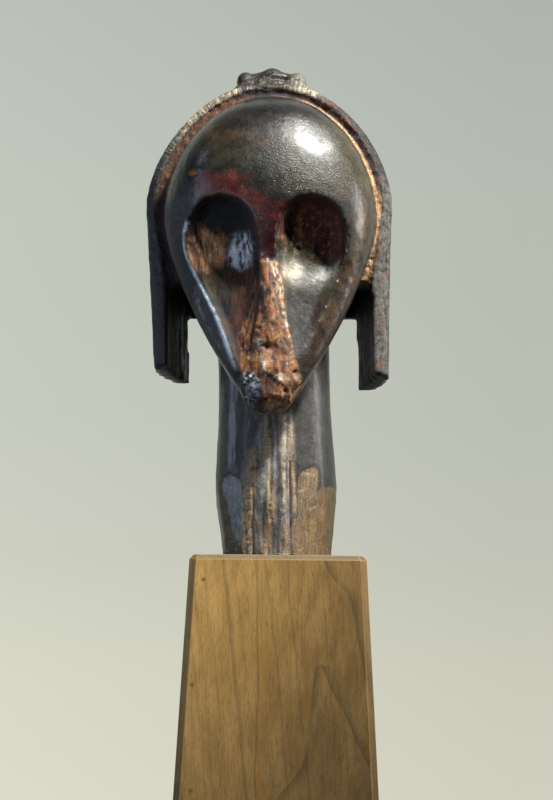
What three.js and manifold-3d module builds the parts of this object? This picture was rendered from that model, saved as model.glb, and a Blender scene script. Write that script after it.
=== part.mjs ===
// A guardian head of Fang type, carved from one block of hardwood together with its long neck, on a
// tapered wooden pedestal. Millimetres, +Z up, the pedestal's front looks towards -Y, and the origin is
// under its middle.
import * as THREE from "three";
import { mergeVertices } from "three/addons/utils/BufferGeometryUtils.js";
import Module from "manifold-3d";

const wasm = await Module();
wasm.setup();

// Driving dimensions, in millimetres and degrees.
const HEAD_HEIGHT = 476; // underside of the neck to the top of the crest
const HEAD_TURN = -5; // how the head stands on the pedestal, turned towards -X
const SEAT_GAP = 0.3; // between the neck's underside and the pedestal
const PEDESTAL_HEIGHT = 320;
const PEDESTAL_TOP_WIDTH = 164; // across the faces at the upper edge, both ways
const PEDESTAL_SPREAD = 0.056; // how far each face leans out for each millimetre down
const CORNER_CHAMFER = 6; // cut off each face beside the four standing corners
const TOP_CHAMFER = 4; // round the upper edge

// The carving is a free form. Its sizes are shares of HEAD_HEIGHT, in units of which there are CREST_TOP
// from the neck's underside to the top of the crest. Heights start at the neck's underside.
const CREST_TOP = 102;
const unit = HEAD_HEIGHT / CREST_TOP;

// The carving's middle strays a little to the left on its way up: [height, how far aside].
const STRAY = [[0, 0], [35, -0.9], [70, -1.8], [95, -1.5], [CREST_TOP, -1.4]];

// The teardrop of brow and face, seen from the front.
const CHIN_END = 27.6;
const TEMPLE = 68.8; // height where the teardrop is widest
const CROWN = 94.8;
const TEMPLE_HALF_WIDTH = 21.9;
const CROWN_ROUNDNESS = 0.55;
const JAW_BEND = 1.52;
const CHIN_SHARE = 0.14; // half-width of the blunt chin as a share of the temple's
const CHIN_BLUNTNESS = 24; // a power: the higher, the squarer the chin's lower edge
const FACE_SQUARENESS = 2.3;

// The hollow of one side of the face: a deep round eye socket that runs out into a tapering cheek.
const HOLLOW_TOP = 71.8;
const HOLLOW_WIDEST = 63;
const HOLLOW_END = 39;
const HOLLOW_HALF_WIDTH = 7.1;
const SOCKET_ROUNDNESS = 2.2;
const CHEEK_TAPER = 1.5;
const HOLLOW_REACH = 8; // how far the body that is cut away stands out before the face
const HOLLOW_EDGE = 0.5; // a power: under 1 keeps the hollow deep near its upper and lower ends
const HOLLOW_FLATNESS = 5; // a power: the higher, the flatter the floor and the steeper its sides
const LEFT_HOLLOW_SHARE = 0.75; // the left one is the shallower

// The broken nose and the worn mouth and chin.
const NOSE_LEDGE = 58.8;
const NOSE_END = 36;
const NOSE_LEDGE_HALF_WIDTH = 1.5;
const NOSE_END_HALF_WIDTH = 5.8;
const NOSE_FLARE = 1.25; // over 1 keeps the sides upright near the ledge
const NOSE_FRONT = -17.2;
const NOSE_BULGE = 0.9; // how far the stump stands out between its ends
const NOSE_DEPTH = 5;
const NOSE_CHIPS = [[0.16, 17, 2.1], [0.12, 41, 0]]; // [size, waves down its length, waves across]
const MUZZLE_MIDDLE = [0, -13.8, 35.6];
const MUZZLE_RADII = [6.3, 4.4, 7.6];
const MUZZLE_SQUARENESS = 0.75; // a power: under 1 makes it squarer than an egg
const MUZZLE_RIPPLES = [[0.03, 9, 5], [0.025, 23, 3]]; // [size, waves up, waves round]

// The coiffure: a rim over the dome from side to side, a cap behind it and a lappet down each side.
const RIM_FRONT = -1.8; // plane of the rim's front edge
const CAP_SPRING = 71.7; // height where the arch begins
const CAP_TOP = 98.5;
const CAP_HALF_WIDTH = 25.8;
const CAP_ASIDE = -0.5; // the coiffure isn't quite in line with the face
const CAP_BEND = 1.75; // under 2 makes the arch a little steeper than a round one
const CAP_ROUNDNESS = 0.53;
const CAP_AXIS = 1; // depth of the widest plane
const CAP_NAPE = 49.4; // lower edge at the back
const RIM_WIDTH = 2;
const RECESS_FLOOR = -0.9; // depth of the shallow step between dome and rim
const RECESS_SILL = 55.8; // the step stops here, and the hollow behind the jaw begins
const LAPPET_HALF_WIDTH = 24.5; // of the outer faces at the lappets' lower ends
const LAPPET_BEND = 0.75; // a power: under 1 lets them draw in sooner
const LAPPET_END = 37.9; // at the front edge
const LAPPET_END_DROP = 3.3; // how much lower the rear edge ends
const LAPPET_END_TILT = 0.032; // the left one ends a little higher than the right one
const LAPPET_INNER_FRONT = 21;
const LAPPET_EDGE_DEPTH = 1; // their inner edges are square to the front as far as this
const LAPPET_INNER_FOLD = 20.2;
const LAPPET_FOLD_DEPTH = 3.2;
const LAPPET_INNER_BACK = 17.4;
const LAPPET_BACK = 9.2;
const CAP_FRONT_REACH = 6; // before the rim is cut flat
const OVERCUT = 0.6; // cuts that open into one another run this far past the shared face

// The crest: three plaits side by side, over the crown and down the back. Each is [aside, radius, top].
const PLAITS = [[-0.7, 3.4, CREST_TOP], [-6.1, 2.3, CREST_TOP - 0.9], [4.6, 2.2, CREST_TOP - 1]];
const PLAIT_START = 0.4; // depth of their blunt front ends
// What fills the dips between them, lower and a little further back.
const FILLETS = [[-3.9, 1.4, CREST_TOP - 1.2], [2.7, 1.1, CREST_TOP - 1.3]];
const FILLET_START = 1.1;
const PLAIT_REACH = 12.4; // how far back the crown carries them
const PLAIT_LEAD = 0.3; // radians that they run forward of the crown
const PLAIT_SWING = 2.3; // radians from their front ends down the back
const PLAIT_BLUNTNESS = 12; // a power: the higher, the blunter both ends
const PLAIT_THINNING = 0.3; // share of the radius lost by the rear end

// The neck.
const NECK_DEPTH = 3; // how far its axis lies behind the origin
const NECK_FLATNESS = 0.93; // depth as a share of width
const NECK_TOP = 66; // inside the head
const NECK_SWELL = 13.3; // height of the widest ring
const NECK_SWELL_RADIUS = 12.65;
const NECK_THROAT = 30; // height where it is slimmest
const NECK_THROAT_RADIUS = 11.7;
const NECK_END_RADIUS = 10.9; // of the flat cuts at the lower end
const NECK_CUT_BOX = [20, 10, 60]; // width, depth and length of what each cut takes
// Each flat cut: the way it faces in degrees from the front, and the height of its upper end.
const NECK_CUTS = [
  [-80, 13.6], [-46, 16.6], [-12, 12.6], [33, 18.6], [66, 14.6],
  [100, 14.2], [134, 17], [170, 13.8], [-152, 16], [-116, 14.4],
];

const clamp = THREE.MathUtils.clamp;
const toVector = (triple) => new THREE.Vector3(...triple);

// A smooth curve through [height, value] pairs, read at any height.
function curveThrough(pairs) {
  const last = pairs.length - 1;
  const slope = pairs.map((pair, i) => {
    const before = pairs[Math.max(i - 1, 0)];
    const after = pairs[Math.min(i + 1, last)];
    return (after[1] - before[1]) / (after[0] - before[0]);
  });
  return (height) => {
    let i = 0;
    while (i < last - 1 && height > pairs[i + 1][0]) i++;
    const [h0, v0] = pairs[i];
    const [h1, v1] = pairs[i + 1];
    const t = clamp((height - h0) / (h1 - h0), 0, 1);
    const s = 1 - t;
    const bend = (h1 - h0) * t * s * (slope[i] * s - slope[i + 1] * t);
    return v0 * (1 + 2 * t) * s * s + v1 * t * t * (3 - 2 * t) + bend;
  };
}

// Small waves added up, for surfaces that are chipped and worn: [size, waves along, waves across] each.
function waves(table, along, across) {
  return table.reduce((sum, [size, down, over]) => sum + size * Math.sin(down * along + over * across), 0);
}

// A closed geometry as a solid that can be joined and cut.
function solidOf(geometry) {
  const bare = geometry.clone();
  bare.deleteAttribute("normal");
  bare.deleteAttribute("uv");
  const merged = mergeVertices(bare, 1e-4);
  return new wasm.Manifold(
    new wasm.Mesh({
      numProp: 3,
      vertProperties: new Float32Array(merged.attributes.position.array),
      triVerts: new Uint32Array(merged.index.array),
    }),
  );
}

// A solid back as a geometry.
function geometryOf(solid) {
  const mesh = solid.getMesh();
  const geometry = new THREE.BufferGeometry();
  geometry.setAttribute("position", new THREE.BufferAttribute(new Float32Array(mesh.vertProperties), 3));
  geometry.setIndex(new THREE.BufferAttribute(new Uint32Array(mesh.triVerts), 1));
  geometry.computeVertexNormals();
  return geometry;
}

// A sphere whose vertices move to place(turn, rise): turn is the angle from the front, and rise goes from
// 0 at the bottom pole to 1 at the top pole. Crowding over 1 sets more of the vertices in front.
function mouldedSphere(segments, rings, place, crowding = 1) {
  const geometry = new THREE.SphereGeometry(1, segments, rings);
  geometry.rotateX(Math.PI / 2);
  const position = geometry.attributes.position;
  for (let i = 0; i < position.count; i++) {
    const x = position.getX(i);
    const rise = 1 - Math.acos(clamp(position.getZ(i), -1, 1)) / Math.PI;
    const turn = Math.atan2(Math.abs(x) < 1e-9 ? 0 : x, -position.getY(i));
    const crowded = Math.sign(turn) * Math.PI * (Math.abs(turn) / Math.PI) ** crowding;
    position.setXYZ(i, ...place(crowded, rise));
  }
  return geometry;
}

// Heights from low to high, closer together near both ends.
function levelAt(rise, low, high) {
  const eased = (rise + (1 - Math.cos(Math.PI * rise)) / 2) / 2;
  return low + (high - low) * eased;
}

// A point on a level section that is half an oval in front of its widest line and half another behind it.
function ovalPoint(turn, halfWidth, middle, frontDepth, backDepth, squareness, height) {
  const across = Math.sin(turn);
  const ahead = Math.cos(turn);
  const power = ahead > 0 ? 2 / squareness : 1;
  const depth = ahead > 0 ? frontDepth : backDepth;
  const x = halfWidth * Math.sign(across) * Math.abs(across) ** power;
  const y = middle - depth * Math.sign(ahead) * Math.abs(ahead) ** power;
  return [x, y, height];
}

// Half the teardrop's width at a height: an oval crown over a long jaw with a blunt end.
function faceHalfWidth(height) {
  if (height > TEMPLE) {
    const up = (height - TEMPLE) / (CROWN - TEMPLE);
    return TEMPLE_HALF_WIDTH * Math.max(0, 1 - up * up) ** CROWN_ROUNDNESS;
  }
  const down = (TEMPLE - height) / (TEMPLE - CHIN_END);
  const rounding = Math.sqrt(Math.max(0, 1 - down ** CHIN_BLUNTNESS));
  return TEMPLE_HALF_WIDTH * (1 - (1 - CHIN_SHARE) * down ** JAW_BEND) * rounding;
}

// Depths of the face: where its widest line runs, and how far it stands before and behind that line.
const faceMiddle = curveThrough([
  [CHIN_END, -13.2], [38.4, -11.6], [50.9, -7.3], [60.1, -4.4], [TEMPLE, -2.6], [CROWN, -2.4],
]);
const faceForward = curveThrough([
  [CHIN_END, 0], [29.4, 2.9], [33.9, 4.9], [44.8, 6.3], [56.2, 9.7], [64.4, 14.6], [70, 16.4],
  [80, 15.6], [87, 12.6], [91.5, 8.2], [CROWN, 0],
]);
const faceBehind = curveThrough([
  [CHIN_END, 0], [31.1, 2.1], [35.4, 5], [40, 8], [50.9, 14], [62.4, 14], [80, 12], [91.5, 7], [CROWN, 0],
]);

function skull() {
  const place = (turn, rise) => {
    const height = levelAt(rise, CHIN_END, CROWN);
    const [halfWidth, middle] = [faceHalfWidth(height), faceMiddle(height)];
    return ovalPoint(
      turn, halfWidth, middle, faceForward(height), faceBehind(height), FACE_SQUARENESS, height,
    );
  };
  return solidOf(mouldedSphere(50, 34, place, 1.3));
}

// Depth of the uncut face at a place.
function faceFront(x, height) {
  const share = Math.min(Math.abs(x) / faceHalfWidth(height), 1);
  return faceMiddle(height) - faceForward(height) * (1 - share ** FACE_SQUARENESS) ** (1 / FACE_SQUARENESS);
}

const hollowMiddle = curveThrough([
  [HOLLOW_END, 5.6], [45, 6.4], [50.5, 7.2], [56, 8.2], [64, 9.1], [HOLLOW_TOP, 9.2],
]);
const hollowDepth = curveThrough([
  [HOLLOW_END, 1], [45, 1.9], [50.5, 2.2], [53, 2.4], [55, 3.1], [57.5, 4.4], [59.5, 5.4], [63, 6],
  [67, 6], [HOLLOW_TOP, 5.6],
]);

function hollowHalfWidth(height) {
  if (height > HOLLOW_WIDEST) {
    const up = (height - HOLLOW_WIDEST) / (HOLLOW_TOP - HOLLOW_WIDEST);
    return HOLLOW_HALF_WIDTH * Math.max(0, 1 - up ** SOCKET_ROUNDNESS) ** (1 / SOCKET_ROUNDNESS);
  }
  const down = (HOLLOW_WIDEST - height) / (HOLLOW_WIDEST - HOLLOW_END);
  return HOLLOW_HALF_WIDTH * Math.max(0, 1 - down ** CHEEK_TAPER);
}

// The hollow of one side of the face, 1 for the right and -1 for the left. Its floor is a bowl behind the
// straight line from the nose to the face's edge, and depthShare makes it shallower than the depths above.
function faceHollow(side, depthShare) {
  const place = (turn, rise) => {
    const height = levelAt(rise, HOLLOW_END, HOLLOW_TOP);
    const [middle, halfWidth] = [side * hollowMiddle(height), hollowHalfWidth(height)];
    const across = Math.sin(turn);
    const ahead = Math.cos(turn);
    const left = faceFront(middle - halfWidth, height);
    const right = faceFront(middle + halfWidth, height);
    const chord = left + (right - left) * (across + 1) * 0.5;
    const fullness = (halfWidth / HOLLOW_HALF_WIDTH) ** HOLLOW_EDGE;
    const section = 1 - Math.abs(across) ** HOLLOW_FLATNESS;
    const bowl = depthShare * hollowDepth(height) * section * fullness;
    const mouth = -HOLLOW_REACH * Math.max(ahead, 0) ** HOLLOW_EDGE * fullness;
    return [middle + halfWidth * across, chord + (ahead < 0 ? bowl : mouth), height];
  };
  return solidOf(mouldedSphere(26, 24, place, 0.65));
}

// The stump of the broken nose: a rough wedge with a ledge at the top, wider towards the mouth.
function noseStump() {
  const length = NOSE_LEDGE - NOSE_END;
  const geometry = new THREE.CylinderGeometry(1, 1, length, 16, 8);
  geometry.rotateX(Math.PI / 2);
  geometry.translate(0, 0, NOSE_END + length / 2);
  const position = geometry.attributes.position;
  for (let i = 0; i < position.count; i++) {
    const [x, y, height] = [position.getX(i), position.getY(i), position.getZ(i)];
    const down = clamp((NOSE_LEDGE - height) / length, 0, 1);
    const chip = waves(NOSE_CHIPS, down, x);
    const spread = (NOSE_END_HALF_WIDTH - NOSE_LEDGE_HALF_WIDTH) * down ** NOSE_FLARE;
    const front = NOSE_FRONT - NOSE_BULGE * Math.sin(Math.PI * Math.min(down * 1.1, 1)) + chip;
    const back = NOSE_FRONT + NOSE_DEPTH;
    position.setX(i, x * (NOSE_LEDGE_HALF_WIDTH + spread + chip));
    position.setY(i, (front + back) / 2 + (y * (back - front)) / 2);
  }
  return solidOf(geometry);
}

// The lower face is thick and blunt where mouth and chin have worn away.
function wornMuzzle() {
  const [middle, radii] = [toVector(MUZZLE_MIDDLE), toVector(MUZZLE_RADII)];
  const place = (turn, rise) => {
    const tilt = Math.PI * (rise - 0.5);
    const squared = (value) => Math.sign(value) * Math.abs(value) ** MUZZLE_SQUARENESS;
    const girth = (1 + waves(MUZZLE_RIPPLES, rise, turn) * Math.cos(tilt)) * squared(Math.cos(tilt));
    return [
      middle.x + radii.x * girth * squared(Math.sin(turn)),
      middle.y - radii.y * girth * squared(Math.cos(turn)),
      Math.max(middle.z + radii.z * Math.sin(tilt), CHIN_END),
    ];
  };
  return solidOf(mouldedSphere(22, 16, place));
}

// A box between two corners.
function block(low, high) {
  const [from, to] = [toVector(low), toVector(high)];
  const size = new THREE.Vector3().subVectors(to, from);
  const middle = new THREE.Vector3().addVectors(from, to).multiplyScalar(0.5);
  const geometry = new THREE.BoxGeometry(size.x, size.y, size.z);
  geometry.translate(middle.x, middle.y, middle.z);
  return solidOf(geometry);
}

const FAR = 60; // past everything, for the tools that cut
const capFloor = LAPPET_END - LAPPET_END_DROP - 3; // the uncut body's underside

const capBehind = curveThrough([
  [capFloor, 14.5], [CAP_NAPE, 15.4], [60, 16.9], [72, 17.4], [82, 15.8], [90, 12.3], [94.5, 8], [CAP_TOP, 0],
]);

// How wide the arch is, as a share of its foot, at a share of its height.
function archShare(up) {
  return Math.max(0, 1 - up ** CAP_BEND) ** CAP_ROUNDNESS;
}

// Half the coiffure's width: an arch on legs that draw in a little.
function capHalfWidth(height) {
  if (height <= CAP_SPRING) {
    const down = (CAP_SPRING - height) / (CAP_SPRING - LAPPET_END);
    return CAP_HALF_WIDTH + (LAPPET_HALF_WIDTH - CAP_HALF_WIDTH) * down ** LAPPET_BEND;
  }
  return CAP_HALF_WIDTH * archShare((height - CAP_SPRING) / (CAP_TOP - CAP_SPRING));
}

// The outer body of the coiffure, before it is hollowed.
function capBody() {
  const place = (turn, rise) => {
    const height = levelAt(rise, capFloor, CAP_TOP);
    if (rise < 1e-6) return [CAP_ASIDE, CAP_AXIS, capFloor];
    const forward = CAP_FRONT_REACH * Math.sqrt(clamp((CAP_TOP - height) / CAP_FRONT_REACH, 0, 1));
    const [x, y] = ovalPoint(turn, capHalfWidth(height), CAP_AXIS, forward, capBehind(height), 2, height);
    return [x + CAP_ASIDE, y, height];
  };
  return solidOf(mouldedSphere(48, 28, place));
}

// What is cut away inside the rim: an arch, down to the floor of the step.
function recess() {
  const foot = CAP_HALF_WIDTH - RIM_WIDTH;
  const rise = CAP_TOP - RIM_WIDTH - CAP_SPRING;
  const side = [new THREE.Vector2(LAPPET_INNER_FRONT, RECESS_SILL - OVERCUT)];
  side.push(new THREE.Vector2(LAPPET_INNER_FRONT, RECESS_SILL));
  const steps = 20;
  for (let i = 0; i < steps; i++) {
    const up = Math.sin((i / steps) * (Math.PI / 2));
    side.push(new THREE.Vector2(foot * archShare(up), CAP_SPRING + rise * up));
  }
  const top = new THREE.Vector2(0, CAP_SPRING + rise);
  const otherSide = side.map((point) => new THREE.Vector2(-point.x, point.y)).reverse();
  const arch = new THREE.Shape([...side, top, ...otherSide]);
  const geometry = new THREE.ExtrudeGeometry(arch, { depth: RECESS_FLOOR + FAR, bevelEnabled: false });
  geometry.rotateX(Math.PI / 2);
  geometry.translate(CAP_ASIDE, RECESS_FLOOR, 0);
  return solidOf(geometry);
}

// The hollow between the lappets, behind the jaw.
function jawHollow() {
  const drawIn = (LAPPET_INNER_FOLD - LAPPET_INNER_BACK) / (LAPPET_BACK - LAPPET_FOLD_DEPTH);
  const half = [
    [LAPPET_INNER_FRONT, -FAR],
    [LAPPET_INNER_FRONT, LAPPET_EDGE_DEPTH],
    [LAPPET_INNER_FOLD, LAPPET_FOLD_DEPTH],
    [LAPPET_INNER_BACK - OVERCUT * drawIn, LAPPET_BACK + OVERCUT],
  ];
  const mirrored = half.map(([x, y]) => [-x, y]).reverse();
  const outline = new THREE.Shape([...half, ...mirrored].map(([x, y]) => new THREE.Vector2(x, y)));
  const depth = RECESS_SILL - capFloor + OVERCUT;
  const geometry = new THREE.ExtrudeGeometry(outline, { depth, bevelEnabled: false });
  geometry.translate(CAP_ASIDE, 0, capFloor - OVERCUT);
  return solidOf(geometry);
}

// The slanted cut across the lappets' lower ends.
function lappetEndCut() {
  const geometry = new THREE.BoxGeometry(2 * FAR, 2 * FAR, FAR);
  geometry.translate(0, 0, -FAR / 2);
  geometry.rotateX(-Math.atan2(LAPPET_END_DROP, LAPPET_BACK - RIM_FRONT));
  geometry.rotateY(Math.atan(LAPPET_END_TILT));
  geometry.translate(0, RIM_FRONT, LAPPET_END);
  return solidOf(geometry);
}

function coiffure() {
  const beforeRim = block([-FAR, -FAR, 0], [FAR, RIM_FRONT, 2 * FAR]);
  const belowNape = block([-FAR, LAPPET_BACK, 0], [FAR, FAR, CAP_NAPE]);
  return capBody()
    .subtract(beforeRim)
    .subtract(recess())
    .subtract(jawHollow())
    .subtract(belowNape)
    .subtract(lappetEndCut());
}

// One plait of the crest, or what lies in the dip between two of them.
function crestPlait([aside, radius, top], start) {
  const crown = top - radius;
  const along = (share) => {
    const swing = share * PLAIT_SWING - PLAIT_LEAD;
    const fall = (crown - CAP_SPRING) * (1 - Math.cos(swing));
    const back = PLAIT_REACH * (Math.sin(swing) + Math.sin(PLAIT_LEAD));
    return new THREE.Vector3(aside, start + back, crown - fall);
  };
  const place = (turn, rise) => {
    const share = (1 - Math.cos(Math.PI * rise)) / 2;
    const here = along(share);
    const ahead = along(share + 0.01).sub(along(share - 0.01)).normalize();
    const blunt = Math.sqrt(Math.max(0, 1 - Math.abs(2 * share - 1) ** PLAIT_BLUNTNESS));
    const girth = radius * blunt * (1 - PLAIT_THINNING * share);
    here.x += girth * Math.sin(turn);
    here.y -= ahead.z * girth * Math.cos(turn);
    here.z += ahead.y * girth * Math.cos(turn);
    return here;
  };
  return solidOf(mouldedSphere(12, 14, place));
}

// The neck: a slightly oval column that swells downwards and is pared back with flat cuts at the end.
const neckRadius = curveThrough([
  [0, NECK_SWELL_RADIUS], [NECK_SWELL, NECK_SWELL_RADIUS], [22, 12.2],
  [NECK_THROAT, NECK_THROAT_RADIUS], [NECK_TOP, NECK_THROAT_RADIUS],
]);

function neck() {
  const rows = 14;
  const profile = [new THREE.Vector2(0, 0)];
  for (let i = 0; i <= rows; i++) {
    const height = (i / rows) * NECK_TOP;
    profile.push(new THREE.Vector2(neckRadius(height), height));
  }
  profile.push(new THREE.Vector2(0, NECK_TOP));
  const place = (geometry) => geometry.scale(1, NECK_FLATNESS, 1).translate(0, NECK_DEPTH, 0);
  const column = place(new THREE.LatheGeometry(profile, 32).rotateX(Math.PI / 2));
  let pared = solidOf(column);
  for (const [facing, top] of NECK_CUTS) {
    const lean = Math.atan2(neckRadius(top) - NECK_END_RADIUS, top);
    const cut = new THREE.BoxGeometry(...NECK_CUT_BOX);
    cut.translate(0, -NECK_CUT_BOX[1] / 2, 0);
    cut.rotateX(lean);
    cut.translate(0, -neckRadius(top), top);
    cut.rotateZ(THREE.MathUtils.degToRad(facing));
    pared = pared.subtract(solidOf(place(cut)));
  }
  return pared;
}

function reliquaryHead() {
  const face = skull()
    .add(wornMuzzle())
    .subtract(faceHollow(1, 1))
    .subtract(faceHollow(-1, LEFT_HOLLOW_SHARE))
    .add(noseStump());
  let carving = coiffure().add(face).add(neck());
  for (const plait of PLAITS) carving = carving.add(crestPlait(plait, PLAIT_START));
  for (const fillet of FILLETS) carving = carving.add(crestPlait(fillet, FILLET_START));
  const geometry = geometryOf(carving);
  const stray = curveThrough(STRAY);
  const position = geometry.attributes.position;
  for (let i = 0; i < position.count; i++) position.setX(i, position.getX(i) + stray(position.getZ(i)));
  return geometry.scale(unit, unit, unit);
}

// The pedestal's faces lean out downwards.
const pedestalHalf = (height) => PEDESTAL_TOP_WIDTH / 2 + PEDESTAL_SPREAD * (PEDESTAL_HEIGHT - height);

// A square body through [height, half width] levels. Turned by an eighth, its faces look along the axes.
function squareBody(levels, eighths) {
  const profile = levels.map(([height, half]) => new THREE.Vector2(half * Math.SQRT2, height));
  profile.unshift(new THREE.Vector2(0, levels[0][0]));
  profile.push(new THREE.Vector2(0, levels.at(-1)[0]));
  return solidOf(new THREE.LatheGeometry(profile, 4, (eighths * Math.PI) / 4).rotateX(Math.PI / 2));
}

function pedestal() {
  const shoulder = PEDESTAL_HEIGHT - TOP_CHAMFER;
  const cornerHalf = (height) => (2 * pedestalHalf(height) - CORNER_CHAMFER) / Math.SQRT2;
  const levels = (half) => [
    [0, half(0)],
    [shoulder, half(shoulder)],
    [PEDESTAL_HEIGHT, half(shoulder) - TOP_CHAMFER],
  ];
  return geometryOf(squareBody(levels(pedestalHalf), 1).intersect(squareBody(levels(cornerHalf), 0)));
}

function piece(name, geometry, material) {
  const mesh = new THREE.Mesh(geometry, material);
  mesh.name = name;
  return mesh;
}

const walnut = new THREE.MeshStandardMaterial({ color: 0x8a6537, roughness: 0.5, metalness: 0 });
const darkWood = new THREE.MeshStandardMaterial({ color: 0x2e221d, roughness: 0.28, metalness: 0 });

const object = new THREE.Group();
object.add(piece("pedestal", pedestal(), walnut));

const head = piece("reliquary_head", reliquaryHead(), darkWood);
head.position.z = PEDESTAL_HEIGHT + SEAT_GAP;
head.rotation.z = THREE.MathUtils.degToRad(HEAD_TURN);
object.add(head);

export default object;
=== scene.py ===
"""A carved guardian head on its tapered walnut plinth, in a plain studio.

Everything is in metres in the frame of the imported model. Relief and stains on the carving are given in
millimetres in the carving's own frame: x to the right of the neck's middle, y behind it and z above the
neck's underside.
"""
import math

import bmesh
import bpy
import numpy as np
from mathutils import Matrix, Vector, noise


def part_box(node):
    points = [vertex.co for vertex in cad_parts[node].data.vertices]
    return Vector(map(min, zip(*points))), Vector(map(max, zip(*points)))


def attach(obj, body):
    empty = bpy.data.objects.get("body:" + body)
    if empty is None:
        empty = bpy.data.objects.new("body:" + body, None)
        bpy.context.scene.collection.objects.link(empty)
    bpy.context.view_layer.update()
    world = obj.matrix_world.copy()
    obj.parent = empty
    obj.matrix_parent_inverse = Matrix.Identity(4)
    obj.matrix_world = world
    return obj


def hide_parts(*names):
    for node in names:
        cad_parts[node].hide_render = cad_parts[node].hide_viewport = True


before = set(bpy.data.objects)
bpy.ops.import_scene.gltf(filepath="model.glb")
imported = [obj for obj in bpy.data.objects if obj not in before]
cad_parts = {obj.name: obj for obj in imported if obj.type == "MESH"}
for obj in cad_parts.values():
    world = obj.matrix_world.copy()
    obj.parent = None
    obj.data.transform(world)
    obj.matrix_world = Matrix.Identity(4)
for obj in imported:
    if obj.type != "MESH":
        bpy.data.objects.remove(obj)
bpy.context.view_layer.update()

MM = 0.001
HEAD_TURN = math.radians(-5)
NECK_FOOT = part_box("reliquary_head")[0].z

# The carving's skin.
SKIN_STEP = 2.75 * MM
FACET_ROUNDS = 30  # smoothing that takes the flats off the curved faces
FACET_REACH = 0.7 * MM  # no point moves further than this in it
EVEN_ROUNDS = 1  # smoothing that follows it, and that follows the split into finer faces
MERGE_REACH = 0.01 * MM
FOOT_SPARE = 8 * MM  # the neck runs on this far while the skin is made, and is cut off square after it

# How far the carving's middle strays aside on its way up.
STRAY = ((0, 163, 327, 443, 476), (0, -4.2, -8.4, -7.0, -6.5))

# The arch inside the coiffure's rim. Above the spring it is a superellipse with these two powers.
ARCH_ASIDE = -2.3
ARCH_SILL = 260
ARCH_SPRING = 334.6
ARCH_TOP = 450.3
ARCH_HALF_AT_SILL = 98.0
ARCH_HALF = 111.1
ARCH_POWER_ASIDE = 1.887
ARCH_POWER_UP = 1.75

# The two hollows of the face: height, distance of the middle line from the face's middle, half width.
HOLLOW = np.array([
    (182, 26.1, 0.5), (196, 28.0, 6.0), (210, 29.9, 11.6), (236, 33.6, 20.7), (261, 38.3, 27.9),
    (294, 42.2, 33.1), (312, 42.8, 30.5), (322, 42.9, 25.6), (331, 42.9, 16.2), (335, 42.9, 0.5),
]).T

# The crease between the left hollow and the face's left edge passes close to these, as (aside, height).
CREASE_MARKS = [
    (-82.7, 309), (-85.0, 292), (-79.0, 271), (-69.5, 254), (-60.0, 235), (-46.0, 207), (-32.4, 172),
]

# The crest's plaits over the crown: how far aside each lies, and the size of its half oval of a course.
PLAITS = [(-3.3, 14.0), (-28.5, 9.5), (21.5, 9.0)]
PLAIT_HUB = (18.9, 334.6)  # depth and height of the middle of their course
PLAIT_COURSE = (57.9, 125.5)  # its half length and half height
BRAID_PITCH = 13.0

# Colours of the old wood, linear. The black also stands for painted shade, and the last, a pale blue, is
# painted light: glints, highlights and sheen.
PATINA = (0.014, 0.013, 0.011)
SOOT_AND_SHADE = (0.004, 0.004, 0.006)
OXBLOOD = (0.065, 0.008, 0.007)
CHESTNUT = (0.110, 0.030, 0.013)
UMBER = (0.110, 0.050, 0.022)
RUST = (0.300, 0.105, 0.035)
TAWNY = (0.300, 0.200, 0.110)
OCHRE = (0.450, 0.250, 0.085)
FAWN = (0.430, 0.310, 0.175)
SLATE = (0.150, 0.170, 0.200)
ASH = (0.180, 0.175, 0.155)
OLIVE = (0.050, 0.044, 0.018)
STRAW = (0.480, 0.380, 0.240)
BONE = (0.660, 0.580, 0.450)
COPPER = (0.700, 0.330, 0.150)
GINGER = (0.260, 0.100, 0.020)
# Not a colour of the wood: pale blue for painted glints, highlights and sheen.
PAINTED_GLINT = (0.520, 0.600, 0.700)


# Small helpers for arrays of points.

def ramp(value, low, high):
    """0 below low, 1 above high and smooth between."""
    share = np.clip((value - low) / (high - low), 0, 1)
    return share * share * (3 - 2 * share)


def bell(distance, width):
    """1 at no distance, falling to about a third at the width."""
    return np.exp(-((distance / width) ** 2))


def ripple(points, size, octaves=3, stretch=(1, 1, 1), shift=0.0):
    """Fractal noise between about -1 and 1, with features of a size in millimetres."""
    scaled = points / (size * np.array(stretch)) + shift
    return np.array([noise.fractal(p, 0.9, 2.1, octaves) for p in scaled.tolist()])


def ridges(points, size, octaves=3, stretch=(1, 1, 1), shift=0.0):
    """Sharp-crested noise between 0 and about 1."""
    scaled = points / (size * np.array(stretch)) + shift
    found = [noise.ridged_multi_fractal(p, 1.0, 2.1, octaves, 1.0, 2.0) for p in scaled.tolist()]
    return np.array(found) / 2.4


def smooth_course(marks, degree=4, steps=24):
    """Points along a smooth curve that runs close to marks given as (aside, height)."""
    aside, height = np.array(marks).T
    fit = np.polyfit(height - height.mean(), aside, degree)
    heights = np.linspace(height[0], height[-1], steps)
    return list(zip(np.polyval(fit, heights - height.mean()), heights))


CREASE = smooth_course(CREASE_MARKS)


def crease_aside(height):
    """How far aside the crease is at a height."""
    aside, heights = np.array(CREASE[::-1]).T
    return np.interp(height, heights, aside)


def own_frame(points):
    """World points, metres, as millimetres in the carving's own frame."""
    unturn = np.array(Matrix.Rotation(-HEAD_TURN, 3, "Z"))
    return (points - np.array([0, 0, NECK_FOOT])) @ unturn.T / MM


# Putting objects into the scene.

def add(name, data):
    """A new object in the scene."""
    made = bpy.data.objects.new(name, data)
    bpy.context.scene.collection.objects.link(made)
    return made


def add_mesh(name, bm):
    """A new object in the scene, made of a bmesh, which is freed."""
    mesh = bpy.data.meshes.new(name)
    bm.to_mesh(mesh)
    bm.free()
    return add(name, mesh)


# The carving's mesh.

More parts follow.
